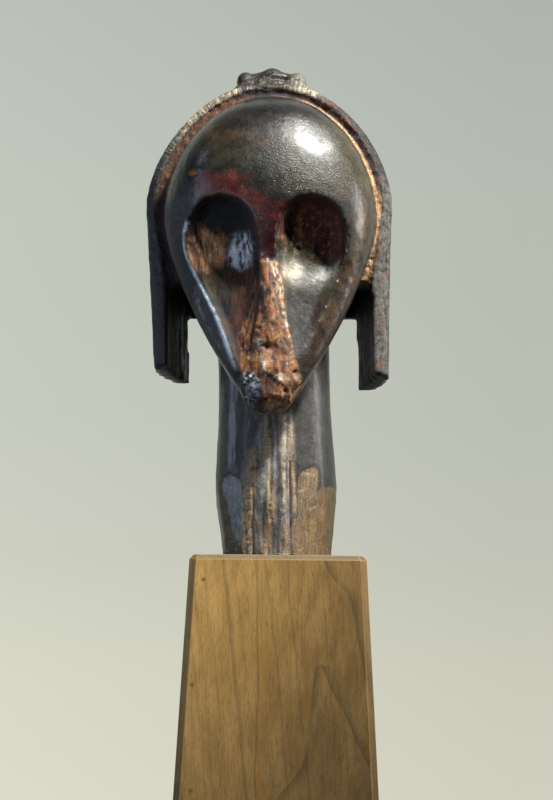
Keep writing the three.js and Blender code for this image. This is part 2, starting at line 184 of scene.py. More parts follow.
def even_skin(node):
    """A node's solid with an even skin of small faces."""
    bm = bmesh.new()
    bm.from_mesh(node.data)
    bmesh.ops.remove_doubles(bm, verts=bm.verts, dist=MERGE_REACH)
    for v in bm.verts:
        if v.co.z < NECK_FOOT + 0.1 * MM:
            v.co.z -= FOOT_SPARE
    piece = add_mesh("carved_head", bm)
    remesh = piece.modifiers.new("even skin", "REMESH")
    remesh.mode = "VOXEL"
    remesh.voxel_size = SKIN_STEP
    evaluated = piece.evaluated_get(bpy.context.evaluated_depsgraph_get())
    piece.data = bpy.data.meshes.new_from_object(evaluated)
    piece.modifiers.clear()
    return piece


def smooth(bm, rounds):
    """Evens out a mesh."""
    for _ in range(rounds):
        bmesh.ops.smooth_vert(
            bm, verts=bm.verts, factor=0.5, use_axis_x=True, use_axis_y=True, use_axis_z=True
        )


def needs_fine_faces(own, out):
    """Which places have relief finer than the even skin can hold."""
    x, y, z = own.T
    half = np.interp(z, [125, 165, 275, 290], [32, 38, 24, 0])
    muzzle = (np.abs(x + 3) < half) & (z > 122) & (z < 290) & (y < 0)
    sockets = (z > 215) & (z < 338) & (np.abs(np.abs(x + 7) - 42) < 36) & (y < -20)
    neck = (np.abs(x + 2) < 40) & (z < 132) & (y < 0)
    crest = (z > 447) & (y < 24)
    rim = (out[:, 1] < -0.4) & (y > -12) & (y < 0) & (z > 250)
    crease = (np.abs(x - crease_aside(z)) < 9) & (z > 165) & (z < 314) & (y < -20)
    return muzzle | sockets | neck | crest | rim | crease


def cut_foot_square(bm):
    """Takes off the neck's spare length."""
    below = bmesh.ops.bisect_plane(
        bm, geom=bm.verts[:] + bm.edges[:] + bm.faces[:], plane_co=(0, 0, NECK_FOOT), plane_no=(0, 0, -1),
        clear_outer=True,
    )
    rim_edges = [part for part in below["geom_cut"] if isinstance(part, bmesh.types.BMEdge)]
    bmesh.ops.contextual_create(bm, geom=rim_edges)
    for edge in rim_edges:
        edge.smooth = False


def smooth_skin(piece):
    """Takes the flats off a piece's skin and splits its faces where the relief is fine."""
    bm = bmesh.new()
    bm.from_mesh(piece.data)
    start = [v.co.copy() for v in bm.verts]
    smooth(bm, FACET_ROUNDS)
    for v, home in zip(bm.verts, start):
        move = v.co - home
        if move.length > FACET_REACH:
            v.co = home + move * (FACET_REACH / move.length)
    smooth(bm, EVEN_ROUNDS)
    bm.normal_update()
    centres = own_frame(np.array([f.calc_center_median() for f in bm.faces]))
    fine = needs_fine_faces(centres, np.array([f.normal for f in bm.faces]))
    edges = list({e for f, wanted in zip(bm.faces, fine) if wanted for e in f.edges})
    bmesh.ops.subdivide_edges(bm, edges=edges, cuts=1, use_grid_fill=True)
    smooth(bm, EVEN_ROUNDS)
    cut_foot_square(bm)
    bm.to_mesh(piece.data)
    bm.free()


def per_point(mesh, name):
    """A mesh's vectors of one kind, a row for each point."""
    flat = np.empty(len(mesh.vertices) * 3)
    mesh.vertices.foreach_get(name, flat)
    return flat.reshape(-1, 3)


class Skin:
    """The carving's points: where each lies, what is carved, stained and worn there, and the light and shade
    painted on it.
    """

    def __init__(self, mesh):
        self.mesh = mesh
        self.world = per_point(mesh, "co")
        self.own = own_frame(self.world)
        self.x, self.y, self.z = self.own.T
        self.out = per_point(mesh, "normal")
        self.middle = np.interp(self.z, *STRAY)
        self.facing = ramp(-self.out[:, 1], -0.1, 0.3)
        self.front = self.facing * ramp(-self.y, 5, 25)
        self.broken = ripple(self.own, 14, 4)
        self.crumb = ripple(self.own, 5, 3, shift=17)
        self.inside_rim = self.depth_in_arch()
        # What the carver and the years did, and the light and shade painted on the wood: a colour, relief in
        # millimetres, and shares from 0 to 1.
        count = len(self.own)
        self.stain_and_painted_light = np.tile(np.array(PATINA), (count, 1))
        self.relief, self.dry, self.shine, self.specks, self.crazed, self.hatching = np.zeros((6, count))
        self.across_rim = np.zeros((count, 3))

    def depth_in_arch(self):
        """Distance inside the coiffure's rim in the front elevation, below 0 on the rim."""
        half = np.interp(self.z, [ARCH_SILL, ARCH_SPRING], [ARCH_HALF_AT_SILL, ARCH_HALF])
        across = np.abs(self.x - self.middle - ARCH_ASIDE) / half
        rise = ARCH_TOP - ARCH_SPRING
        up = np.maximum(self.z - ARCH_SPRING, 0) / rise
        slope = np.hypot(
            ARCH_POWER_ASIDE * across ** (ARCH_POWER_ASIDE - 1) / half,
            ARCH_POWER_UP * up ** (ARCH_POWER_UP - 1) / rise,
        )
        return (1 - across ** ARCH_POWER_ASIDE - up ** ARCH_POWER_UP) / np.maximum(slope, 0.004)

    def blot(self, x, z, width, height, edge=0.35):
        """A soft oval patch in the front elevation, 1 inside and 0 outside."""
        reach = np.hypot((self.x - x) / width, (self.z - z) / height)
        return 1 - ramp(reach + edge * self.broken, 1 - edge, 1 + edge)

    def swell(self, x, z, width, height):
        """A smooth oval hump in the front elevation, 1 in its middle."""
        return bell(np.hypot((self.x - x) / width, (self.z - z) / height), 1)

    def beside(self, path):
        """Distance from a path in the front elevation."""
        best = np.full(len(self.own), 1e3)
        for (x0, z0), (x1, z1) in zip(path, path[1:]):
            run = np.array([x1 - x0, z1 - z0])
            off = self.own[:, [0, 2]] - np.array([x0, z0])
            share = np.clip(off @ run / (run @ run), 0, 1)
            best = np.minimum(best, np.hypot(*(off - share[:, None] * run).T))
        return best

    def within(self, corners, edge=1.0):
        """1 inside a straight-sided patch of the front elevation and 0 outside, soft over its edge."""
        closed = corners + corners[:1]
        inside = np.zeros(len(self.own), bool)
        for (x0, z0), (x1, z1) in zip(closed, closed[1:]):
            if z0 != z1:
                crossing = x0 + (self.z - z0) * (x1 - x0) / (z1 - z0)
                inside ^= ((z0 > self.z) != (z1 > self.z)) & (self.x < crossing)
        return ramp(self.beside(closed) * np.where(inside, 1, -1), -edge, edge)

    def in_hollow(self, side, full, none):
        """1 in a hollow of the face and 0 outside, soft from full to none, in shares of its half width."""
        heights, middles, halves = HOLLOW
        centre = self.middle + side * np.interp(self.z, heights, middles)
        half = np.interp(self.z, heights, halves)
        between_ends = (self.z > heights[0]) & (self.z < heights[-1])
        return between_ends * (1 - ramp(np.abs((self.x - centre) / half), full, none)) * self.front

    def lay(self, colour, mask):
        """Mixes a colour, of the wood or of painted light and shade, into each point's colour."""
        mask = np.clip(mask, 0, 1)[:, None]
        self.stain_and_painted_light = self.stain_and_painted_light * (1 - mask) + np.array(colour) * mask

    def dull(self, mask):
        """Makes the wood dry and matt."""
        self.dry = np.maximum(self.dry, np.clip(mask, 0, 1))

    def polish(self, mask):
        """Takes the dryness off again."""
        self.dry = self.dry * (1 - np.clip(mask, 0, 1))

    def burnish(self, mask):
        """Makes the gloss mirror-like."""
        self.shine = np.maximum(self.shine, np.clip(mask, 0, 1))

    def speckle(self, mask):
        """Sprinkles small tan spots."""
        self.specks = np.maximum(self.specks, np.clip(mask, 0, 1))

    def groove(self, path, depth, width, mask):
        """Sinks a line, depth and width in millimetres."""
        self.relief -= depth * bell(self.beside(path), width) * mask

    def ridge(self, path, height, width, mask):
        """Raises a line, height and width in millimetres."""
        self.groove(path, -height, width, mask)

    def pit(self, x, z, width, depth, mask):
        """Sinks a black hole."""
        reach = np.hypot(self.x - x, self.z - z)
        self.relief -= depth * bell(reach, width) * mask
        self.lay(SOOT_AND_SHADE, bell(reach, width) * mask)

    def keep(self, name, values):
        """Stores a value or a colour for each point of the mesh."""
        if values.ndim == 1:
            layer = self.mesh.attributes.new(name, "FLOAT", "POINT")
            layer.data.foreach_set("value", values.astype(np.float32))
        else:
            layer = self.mesh.attributes.new(name, "FLOAT_COLOR", "POINT")
            layer.data.foreach_set("color", np.c_[values, np.ones(len(values))].astype(np.float32).ravel())

    def carve(self, low, high):
        """Moves the points along their normals by the relief, and no further than the solid's box."""
        moved = np.clip(self.world + self.out * self.relief[:, None] * MM, low, high)
        self.mesh.vertices.foreach_set("co", moved.ravel())
        self.mesh.update()


# What is worn, broken and stained on the carving, and the light and shade painted on it, from the crown down
# to the neck.

def dome(s):
    """The brow's thick dark patina, with red and brown showing through, and painted shade and sheen on its
    left.
    """
    s.relief += 0.25 * ripple(s.own, 30, 2) + 0.12 * ripple(s.own, 9, 2, shift=5)
    lean, flat_x, flat_z = math.radians(25), 34, 397
    along = math.cos(lean) * (s.x - flat_x) - math.sin(lean) * (s.z - flat_z)
    athwart = math.sin(lean) * (s.x - flat_x) + math.cos(lean) * (s.z - flat_z)
    s.relief -= 1.5 * s.front * bell(np.hypot(along / 20, athwart / 38), 1)
    s.crazed = 0.35 + 0.65 * s.front * s.blot(22, 352, 52, 50, 0.3)
    for at in [(-52, 345, 26, 13), (-36, 331, 18, 11), (-12, 300, 13, 34), (8, 322, 20, 8)]:
        s.lay(OXBLOOD, 0.85 * s.front * s.blot(*at))
    for at in [(-48, 396, 19, 10), (64, 350, 12, 18), (-88, 330, 8, 20), (-14, 384, 10, 8)]:
        s.lay(CHESTNUT, 0.18 * s.front * s.blot(*at))
    for at in [(-40, 352, 5, 5), (-30, 341, 5, 4), (-22, 326, 6, 4), (-60, 336, 4, 3)]:
        s.lay(CHESTNUT, 0.75 * s.front * s.blot(*at, 0.6) * ramp(s.crumb, -0.3, 0.3))
    s.lay(OLIVE, 0.4 * s.front * s.blot(40, 372, 40, 44))
    s.lay(OLIVE, 0.3 * s.front * s.blot(-45, 385, 34, 26))
    s.burnish(0.6 * s.front * s.blot(-62, 372, 30, 50, 0.5))
    s.lay(SOOT_AND_SHADE, 0.7 * s.front * s.blot(-38, 402, 16, 7, 0.5))
    s.burnish(0.7 * s.front * s.blot(-24, 322, 60, 42))
    s.lay(SOOT_AND_SHADE, 0.5 * s.front * ramp(s.z, 402, 428))
    s.burnish(0.6 * s.front * ramp(s.z, 395, 420))
    # Painted shade: the brow's far left is laid near black, turned away from the light.
    s.lay(SOOT_AND_SHADE, 0.9 * s.front * ramp(-s.x, 62, 84) * ramp(410 - s.z, 0, 40))
    # Painted sheen: a faint bluish haze down the brow's left side.
    painted_left_sheen = bell(s.beside([(-68, 378), (-74, 345), (-80, 318)]), 5)
    s.lay(SLATE, 0.35 * s.front * painted_left_sheen * ramp(s.crumb, -0.6, 0.3))
    s.lay(RUST, 0.9 * s.front * s.blot(-78.5, 357.5, 4, 2.6, 0.2))
    s.speckle(0.5 * s.front * s.blot(-40, 347, 20, 14))

    right_edge = [(66, 412), (78, 385), (87, 350), (86, 330), (83, 300), (76, 275), (64, 243), (34, 180)]
    border = bell(s.beside(right_edge), 12) * s.front * ramp(s.x - s.middle, 20, 45)
    s.lay(OLIVE, border * 0.8)
    s.lay(OXBLOOD, border * ramp(330 - s.z, -20, 20) * ramp(-s.broken, -0.4, 0.2) * 0.5)
    s.lay(CHESTNUT, border * ramp(s.broken, 0.1, 0.5) * 0.35)
    s.lay(SOOT_AND_SHADE, border * ramp(330 - s.z, -10, 40) * ramp(-s.broken, -0.2, 0.4) * 0.6)
    s.burnish(border * 0.5)


def recess(s):
    """The shallow step between dome and rim, roughly chiselled and never polished, black with painted shade
    where the light does not reach.
    """
    deep = s.inside_rim
    floor = ramp(deep, -0.8, 0.6) * ramp(s.y, -14, -8) * ramp(s.z, ARCH_SILL - 4, ARCH_SILL)
    floor *= 1 - ramp(s.y, 12, 20)
    right = ramp(s.x, 0, 40)
    upper_left = ramp(s.z, 338, 354) * ramp(-s.x, 24, 38)
    lower_right = right * ramp(345 - s.z, -15, 15)
    chisel = ripple(s.own, 6, 4, (1, 1, 1), 29)
    s.relief += floor * (0.9 * chisel - 0.4)
    # Painted shade: the floor is laid black; only the strip out of the rim's and the dome's shadows gets the
    # chiselled wood's colours.
    s.lay(SOOT_AND_SHADE, floor)
    s.lay(OXBLOOD, floor * 0.35 * ramp(s.crumb, -0.2, 0.3))
    strip = upper_left * ramp(deep, 0.3, 1.5)
    strip = strip + right * (1 - lower_right) * ramp(deep, 4.5, 6.0) + lower_right * ramp(deep, 0.5, 2.0)
    strip = np.clip(strip, 0, 1) * floor * (1 - bell(s.x + 3, 30) * ramp(s.z, 425, 435))
    s.lay(UMBER, strip)
    s.lay(RUST, strip * ramp(chisel, -0.2, 0.5) * (0.85 - 0.5 * upper_left))
    s.lay(COPPER, strip * right * ramp(s.broken, -0.5, 0.2) * 0.5)
    s.lay(FAWN, strip * right * ramp(s.crumb, -0.4, 0.2) * 0.8)
    s.lay(SOOT_AND_SHADE, strip * upper_left * 0.35)
    s.lay(SOOT_AND_SHADE, strip * ramp(s.crumb, 0.35, 0.6) * 0.7)
    s.dull(floor)
    s.speckle(0.5 * strip)
    # Painted highlight: a pale line along the dome's top edge.
    painted_lip_highlight = bell(deep - 7, 1.8) * ramp(s.z, 425, 436) * ramp(-s.y, 6, 12) * (1 - ramp(np.abs(s.x + 3), 22, 34))
    s.lay(BONE, painted_lip_highlight * 0.6)


def rim(s):
    """Front of the rim and of the lappets: tool marks across it, rubbed on the right, painted shade on the
    lower left.
    """
    face = ramp(-s.inside_rim, -1.0, 0.3) * (1 - ramp(s.y, 4, 9)) * ramp(-s.out[:, 1], 0.0, 0.3)
    face *= 1 - ramp(s.z, 459.5, 463)
    right = ramp(s.x, 20, 60)
    top = ramp(s.z, 375, 425)
    upper_right = right * ramp(s.z, 340, 375)
    left = (1 - right) * (1 - top)
    tool = ripple(s.own, 5, 3, shift=31)
    s.relief += face * 0.45 * tool
    # Painted shade: the rim's lower left is laid black, where the dome's shadow falls.
    s.lay(SOOT_AND_SHADE, face * left * ramp(370 - s.z, -15, 15))
    s.lay(ASH, face * left * ramp(s.z, 350, 385) * 0.35)
    crown = face * top * (1 - right)
    s.lay(ASH, crown)
    s.lay(FAWN, crown * ramp(tool, -0.3, 0.2) * 0.7)
    s.lay(STRAW, crown * ramp(tool, 0.0, 0.4) * 0.5)
    s.lay(ASH, face * right * ramp(tool, -0.8, 0.3) * 0.55)
    s.lay(UMBER, face * right * ramp(s.broken, 0.2, 0.6) * 0.6)
    inner_part = face * ramp(s.inside_rim, -8.2, -6.8) * upper_right
    s.lay(SOOT_AND_SHADE, inner_part * 0.9)
    s.lay(CHESTNUT, inner_part * ramp(s.broken, 0.0, 0.4) * 0.6)
    s.dull(face * (0.45 + 0.4 * np.maximum(right, top)))
    s.speckle(face * right * 0.7)
    s.hatching = face * ramp(s.z, 320, 370) * (1 - 0.7 * right)
    around = np.arctan2(s.x - s.middle, s.z - 325) * 120
    s.across_rim = np.c_[around, s.inside_rim * 0.15, np.zeros(len(around))]


def crest(s):
    """Three braided plaits over the crown, their front ends rubbed and chipped."""
    hub_depth, hub_height = PLAIT_HUB
    half_length, half_height = PLAIT_COURSE
    behind, up = (s.y - hub_depth) / half_length, (s.z - hub_height) / half_height
    angle = np.arctan2(behind, up)
    course = angle * (half_length + half_height) / 2
    above_cap = np.hypot(behind, up)
    for aside, half in PLAITS:
        off = s.x - (s.middle + aside)
        on = bell(off / half, 0.85) * ramp(above_cap, 0.90, 0.97) * ramp(s.z, 225, 240)
        braid = np.cos(2 * np.pi * (course - 0.7 * np.abs(off)) / BRAID_PITCH)
        back = ramp(angle, -0.05, 0.3)
        s.relief += 0.9 * on * braid * back - 0.8 * on * back * bell(off, 1.6)
    front = ramp(s.z, 448, 453) * (1 - ramp(s.y, 22, 34))
    s.relief += front * 0.6 * ripple(s.own, 6, 3, shift=41)
    s.groove([(-9, 460.6), (4, 461.2)], 2.0, 1.2, front * s.facing)
    s.ridge([(-10, 464.4), (3, 465.4)], 0.9, 1.6, front)
    s.ridge([(-21, 458), (-17, 461)], 1.6, 3.0, front)
    s.ridge([(12, 459), (15, 460)], 1.0, 2.5, front)
    s.lay(OLIVE, 0.7 * front * ramp(s.broken, -0.3, 0.4))
    s.lay(SOOT_AND_SHADE, front * ramp(-s.crumb, -0.9, -0.1) * (0.95 - 0.75 * ramp(s.x, 5, 20)))
    s.lay(SOOT_AND_SHADE, 0.5 * front * ramp(5 - s.x, 0, 10))
    s.lay(ASH, 0.6 * front * ramp(s.x, 5, 20))
    s.dull(front * (0.35 + 0.25 * ramp(s.x, 5, 20)))
    s.speckle(0.6 * front)


def left_hollow(s):
    """The left hollow: painted shade under the brow, worn orange at its outer side, a painted reflection at
    its inner side.
    """
    inside = s.in_hollow(-1, 0.93, 1.03)
    fibres = ripple(s.own, 7, 4, (1, 1, 1.8), 51)
    glints = ripple(s.own, 5, 3, (1, 1, 1.6), 63)
    orange = inside * s.blot(-66, 289, 19, 22)
    painted_reflection_patch = inside * s.blot(-31, 284, 14, 14, 0.5)
    s.relief += inside * (3.0 * s.swell(-29, 284, 12, 15) + 9.0 * s.swell(-73, 280, 19, 27))
    s.relief += inside * ramp(s.z, 235, 262) * 1.2 * fibres + orange * fibres + painted_reflection_patch * glints

    s.lay(SOOT_AND_SHADE, inside * 0.8)
    s.lay(CHESTNUT, inside * ramp(305 - s.z, 0, 30) * ramp(s.broken, -0.4, 0.4) * 0.35)
    s.lay(OLIVE, inside * s.blot(-56, 256, 18, 16) * 0.7)
    s.lay(CHESTNUT, inside * s.blot(-27, 232, 10, 44) * 0.5)
    s.lay(RUST, inside * s.blot(-30, 238, 10, 36) * ramp(fibres, 0.1, 0.5) * 0.15)
    s.lay(CHESTNUT, inside * s.blot(-72, 308, 10, 14) * 0.8)
    # Worn orange wood, laid bright partly as painted light, for the light falling on the outer side.
    s.lay(RUST, orange)
    s.lay(COPPER, orange)
    s.lay(FAWN, orange * ramp(s.crumb, -0.2, 0.3) * 0.9)
    s.lay(STRAW, orange * ramp(s.crumb, 0.1, 0.4) * 0.6)
    s.lay(CHESTNUT, orange * ramp(-fibres, 0.15, 0.5) * 0.6)
    # Painted shade: black for the brow's shadow over the hollow's upper part.
    s.lay(SOOT_AND_SHADE, inside * s.blot(-42, 319, 36, 20, 0.45))
    s.lay(SOOT_AND_SHADE, inside * s.blot(-16, 285, 5, 20) * 0.8)
    # Painted reflection: bluish glints on the hollow's inner side.
    s.lay(SLATE, painted_reflection_patch * (1 - orange) * ramp(glints, -0.6, 0.0))
    s.lay(PAINTED_GLINT, painted_reflection_patch * (1 - orange) * ramp(glints, -0.35, 0.1))
    s.dull(inside * ramp(s.z, 225, 245) + 0.5 * inside)
    s.speckle(orange)
    s.polish(painted_reflection_patch * 0.8)
    s.burnish(painted_reflection_patch * 0.7)


def right_hollow(s):
    """The right hollow: painted shade with red specks under the brow, and a painted highlight along its lower
    side.
    """
    inside = s.in_hollow(1, 0.88, 1.04)
    fibres = ripple(s.own, 7, 4, (1, 1, 1.8), 51)
    upper = inside * (1 - ramp(286 - 0.35 * (s.x - 20) - s.z + 6 * s.broken, -8, 8))
    s.relief += inside * ramp(s.z, 270, 290) * 0.9 * fibres
    s.relief += inside * 7.0 * s.swell(26, 287, 26, np.where(s.z > 287, 15, 34))

    s.lay(OLIVE, inside * 0.6)
    # Painted shade: the brow's shadow, its lower edge slanting down to the right, with red and rust specks
    # laid in it.
    s.lay(SOOT_AND_SHADE, upper)
    s.lay(OXBLOOD, upper * ramp(s.broken, -0.6, 0.0) * 0.9)
    s.lay(CHESTNUT, inside * s.blot(30, 302, 26, 24, 0.4) * ramp(fibres, -0.2, 0.3) * 0.9)
    s.lay(RUST, upper * s.blot(30, 302, 28, 24, 0.4) * ramp(s.crumb, 0.05, 0.35) * 0.8)
    s.lay(OLIVE, inside * s.blot(18, 288, 14, 12) * 0.9)
    s.lay(STRAW, inside * s.blot(18, 288, 14, 10, 0.5) * ramp(fibres, 0.15, 0.5) * 0.6)
    s.lay(CHESTNUT, inside * s.blot(45, 213, 10, 22) * 0.7)
    # Painted highlight: a pale crescent along the hollow's lower side and a bright spot near the nose.
    crescent = [(8, 276), (13, 268), (23, 260), (34, 257), (48, 261), (60, 270)]
    s.lay(ASH, inside * bell(s.beside(crescent), 8) * ramp(s.crumb, -0.9, 0.1) * 0.9)
    s.lay(BONE, inside * s.swell(13, 267, 10, 10) * 0.95)
    s.dull(upper * 0.8)
    s.speckle(upper * 0.6)
    s.pit(20, 290, 2.2, 4.0, inside)

    lower_cheek = inside * s.blot(30, 216, 22, 32)
    s.lay(SOOT_AND_SHADE, lower_cheek * 0.8)
    s.speckle(lower_cheek * 0.5)
    s.dull(inside * s.blot(20, 208, 16, 26) * 0.7)


def left_cheek(s):
    """The sharp crease beside the left hollow, a painted highlight on its outer flank, and the black band
    beyond it.
    """
    # The hollow's edge, laid darker and made matt up its right side, over its top and a little down its left
    # side.
    heights, middles, halves = HOLLOW[:, 3:]
    strays = np.interp(heights, *STRAY)
    right_edge = list(zip(strays - middles + halves, heights))
    top_left_edge = list(zip(strays - middles - halves, heights))[:2:-1]
    hollow_edge = s.front * bell(s.beside(right_edge + top_left_edge), 3.5)
    s.lay(SOOT_AND_SHADE, hollow_edge * 0.6)
    s.dull(hollow_edge)
    band = s.front * ramp(-s.x, 72, 80) * ramp(s.z, 190, 220) * ramp(350 - s.z, 0, 30)
    s.lay(SOOT_AND_SHADE, band * 0.6)
    s.dull(band * 0.45)

    outside = s.front * (1 - s.in_hollow(-1, 0.93, 1.03))
    past = s.x - crease_aside(s.z)
    along = s.front * ramp(316 - s.z, 0, 8) * ramp(s.z, 170, 178)
    inner_flank = ramp(past, -0.2, 1.2) * (1 - ramp(past, 14, 18)) * along
    s.groove([(x + 8, z) for x, z in CREASE], 1.2, 5.0, s.front)
    s.ridge(CREASE, 1.3, 3.6, s.front)
    s.lay(SOOT_AND_SHADE, outside * bell(s.beside(CREASE) - 6, 12) * ramp(-past, -3, 2))
    s.lay(OLIVE, inner_flank * outside * 0.9)
    s.lay(CHESTNUT, inner_flank * outside * ramp(s.broken, -0.2, 0.4) * 0.5)
    s.lay(COPPER, inner_flank * outside * s.blot(-72, 286, 12, 22) * 0.6)
    s.dull(inner_flank * 0.85)
    lower = ramp(250 - s.z, 0, 50)
    outer_flank = bell((past + 1.2 + lower) / (1.3 + 0.9 * lower), 1) * (1 - ramp(past, -0.4, 0.6)) * along
    # Painted highlight: a thin pale blue line down the crease's outer flank.
    s.lay(PAINTED_GLINT, outer_flank)
    s.polish(outer_flank)
    s.burnish(outer_flank)


def nose_and_mouth(s):
    """The broken nose, the mouth and the chin, where the wood is dry and eaten away."""
    left_heights = [125, 140, 168, 182, 205, 240, 262, 275]
    left = np.interp(s.z, left_heights, [-20, -27, -30, -31, -33, -22, -17, -13.5])
    right = np.interp(s.z, [125, 140, 168, 205, 240, 275], [20, 26, 26, 15, 9, 2.5])
    inside = np.minimum(s.x - left, right - s.x) - 2.2 * s.broken
    worn = ramp(inside, -1.5, 1.5) * (1 - ramp(s.z, 272, 277)) * ramp(-s.y, 30, 50) * s.facing
    fibres = ripple(s.own, 5, 4, (1, 1, 2.6), 3)
    eaten = ridges(s.own, 7, 3, (1, 1, 1.5), 7)
    lumps = ripple(s.own, 11, 3, (1, 1, 1.4), 61)
    low = ramp(230 - s.z, 0, 25)
    s.relief += worn * (1.2 * fibres + (1.0 + 0.5 * low) * lumps - 1.6 * low * ramp(eaten, 0.5, 0.8))

    s.lay(UMBER, worn)
    s.lay(CHESTNUT, worn * ramp(-lumps, -0.2, 0.3) * 0.7)
    s.lay(GINGER, worn * ramp(fibres, -0.3, 0.4) * 0.8)
    s.lay(RUST, worn * (1 - low) * ramp(fibres, 0.0, 0.5) * 0.4)
    s.lay(SOOT_AND_SHADE, worn * ramp(-fibres, 0.15, 0.5) * (0.75 - 0.35 * low))
    s.lay(SOOT_AND_SHADE, worn * ramp(eaten, 0.5, 0.8) * 0.4)
    # Painted glints: grey-blue flecks.
    s.lay(SLATE, worn * ramp(s.crumb, 0.36, 0.5) * 0.4)
    s.lay(STRAW, worn * s.blot(3, 252, 5.0, 24) * ramp(s.crumb, -0.2, 0.3) * 0.5)
    s.lay(RUST, worn * low * ramp(s.broken, -0.2, 0.3) * 0.4)
    s.lay(STRAW, worn * low * ramp(s.crumb, 0.32, 0.5) * 0.3)
    s.lay(CHESTNUT, worn * ramp(165 - s.z, 0, 30) * ramp(-s.broken, -0.3, 0.2) * 0.4)
    s.lay(SOOT_AND_SHADE, worn * ramp(165 - s.z, 0, 30) * ramp(-s.crumb, 0.1, 0.4) * 0.6)
    s.dull(worn * 0.7)
    s.speckle(worn * 0.4)

    for path, height, width in (
        ([(1.5, 271), (7.5, 236), (12.0, 214), (13.5, 203)], 1.2, 1.8),
        ([(-2, 271), (1, 255)], 0.8, 1.8),
        ([(-13, 198), (-9, 186), (-8, 171)], 1.6, 3.2),
        ([(-3, 169), (9, 161)], 1.8, 2.4),
    ):
        s.ridge(path, height, width, worn)
        # Pale along each ridge: partly rubbed wood, partly a painted highlight.
        rubbed = worn * bell(s.beside(path), width * 0.8) * ramp(s.crumb, -0.4, 0.2)
        s.lay(BONE, rubbed * (0.6 + 0.35 * low))
    s.lay(STRAW, worn * ramp(s.z, 271.5, 273.5) * 0.6)
    fissure = [(-16.3, 272), (-15.5, 240), (-19, 212), (-22, 190)]
    s.groove(fissure, 2.5, 1.6, s.front)
    s.lay(SOOT_AND_SHADE, bell(s.beside(fissure), 1.6) * s.front * 0.8)
    for x, z, width in (
        (-12.5, 210, 2.0), (-5.9, 193, 2.2), (21.6, 170, 2.0), (12, 152, 1.6), (-6, 143, 1.6),
    ):
        s.pit(x, z, width, 3.0, worn * 0.8)
    s.lay(OCHRE, worn * s.blot(2, 137, 16, 9) * ramp(s.crumb, -0.3, 0.2) * 0.8)

    glossy = worn * s.blot(-22, 153, 10, 16, 0.25)
    s.lay(SOOT_AND_SHADE, glossy)
    # Painted glints on the glossy black patch beside the chin.
    s.lay(PAINTED_GLINT, glossy * ramp(s.crumb, -0.2, 0.2) * 0.9)
    s.relief += glossy * 1.4 * ripple(s.own, 6, 2, shift=71)
    s.polish(glossy)
    s.burnish(glossy)


def neck_column(s):
    """The neck's round sides: painted shade on the left, a little ash on the right."""
    column = 1 - ramp(s.z, 150, 170) * ramp(-s.y, 42, 50)
    column *= (1 - ramp(s.z, 240, 260)) * (1 - ramp(np.abs(s.x), 62, 66))
    s.lay(ASH, column * 0.18 * ramp(s.x, 12, 26) * (1 - ramp(s.x, 38, 50)))
    # Painted shade: the neck's left side, in the chin's shadow and turned from the light.
    s.lay(SOOT_AND_SHADE, column * 0.8 * ramp(-s.x, 0, 12))
    s.relief += column * 0.25 * ripple(s.own, 7, 3, (1, 1, 3), 95)
    s.dull(column * 0.22)


